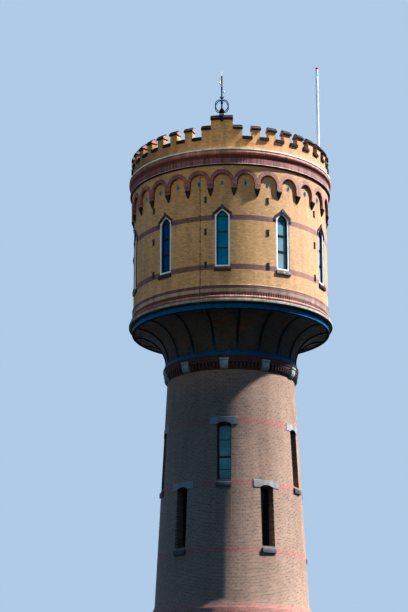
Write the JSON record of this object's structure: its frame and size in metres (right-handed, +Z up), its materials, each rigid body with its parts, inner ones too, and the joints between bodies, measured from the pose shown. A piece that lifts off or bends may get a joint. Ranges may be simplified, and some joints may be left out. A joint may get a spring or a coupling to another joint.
{
  "type": "round brick water tower",
  "caption": "Round brick water tower with a battered shaft, a flared steel-ribbed bowl, a wider windowed drum, an arcaded cornice, a crenellated parapet and a turning weathervane.",
  "frame": {"origin": "centre of the foot on the ground, on the tower's axis", "axes": "+Z up along the tower's axis, -Y out of the front, where the gable, the weathervane and the door are, +X to the right seen from the front"},
  "size_m": [9.822, 10.286, 38.445],
  "materials": {
    "shaft_brick": "weathered pinkish-tan facing brick in grey mortar",
    "drum_brick": "warm yellow facing brick in grey mortar",
    "dark_brick": "near-black brown brick",
    "purple_brick": "purple-brown and salmon brick mouldings",
    "grey_stone": "greenish-grey dressed stone",
    "blue_steel": "deep blue gloss paint on riveted steel",
    "white_paint": "white paint",
    "dark_paint": "dark blue-grey paint",
    "oak_boards": "dark green painted boards",
    "floor_timber": "worn bare boards",
    "zinc": "dull grey seamed sheet",
    "gilt": "weathered gilding",
    "dark_iron": "blue-black painted wrought iron"
  },
  "bodies": {
    "tower": {"plinth": "grey_stone", "door_step": "grey_stone", "door_frame": "dark_paint", "door": "oak_boards", "ground_floor": "grey_stone", "base_floor": "floor_timber", "lower_floor": "floor_timber", "upper_floor": "floor_timber", "tower_wall_1": "shaft_brick", "tower_wall_2": "shaft_brick", "tower_wall_3": "shaft_brick", "tower_wall_4": "shaft_brick", "tower_wall_5": "shaft_brick", "base_window_1": "dark_paint", "base_window_2": "dark_paint", "base_window_3": "dark_paint", "base_window_4": "dark_paint", "base_window_5": "dark_paint", "lower_window_1": "dark_paint", "lower_window_2": "dark_paint", "lower_window_3": "dark_paint", "lower_window_4": "dark_paint", "lower_window_5": "dark_paint", "upper_window_1": "dark_paint", "upper_window_2": "dark_paint", "upper_window_3": "dark_paint", "upper_window_4": "dark_paint", "upper_window_5": "dark_paint", "neck_corbel": "dark_brick", "bowl": "dark_brick", "steel_cradle": "blue_steel", "stone_ring": "grey_stone", "drum_base_course": "purple_brick", "drum_floor": "floor_timber", "drum_wall_1": "drum_brick", "drum_wall_2": "drum_brick", "drum_wall_3": "drum_brick", "drum_wall_4": "drum_brick", "drum_wall_5": "drum_brick", "drum_window_1": "white_paint", "drum_window_2": "white_paint", "drum_window_3": "white_paint", "drum_window_4": "white_paint", "drum_window_5": "white_paint", "drum_window_6": "white_paint", "drum_window_7": "white_paint", "drum_window_8": "white_paint", "drum_window_9": "white_paint", "drum_window_10": "white_paint", "arcade": "purple_brick", "cornice": "purple_brick", "parapet": "drum_brick", "front_gable": "drum_brick", "roof": "zinc", "flagpole": "white_paint", "vane_stand": "dark_iron"},
    "vane": {"vane": "gilt"}
  },
  "joints": [
    {"name": "vane_turn", "type": "hinge", "parent": "tower", "child": "vane", "pos_m": [0, -4.635, 35.535], "axis": [0, 0, 1], "continuous": true}
  ]
}
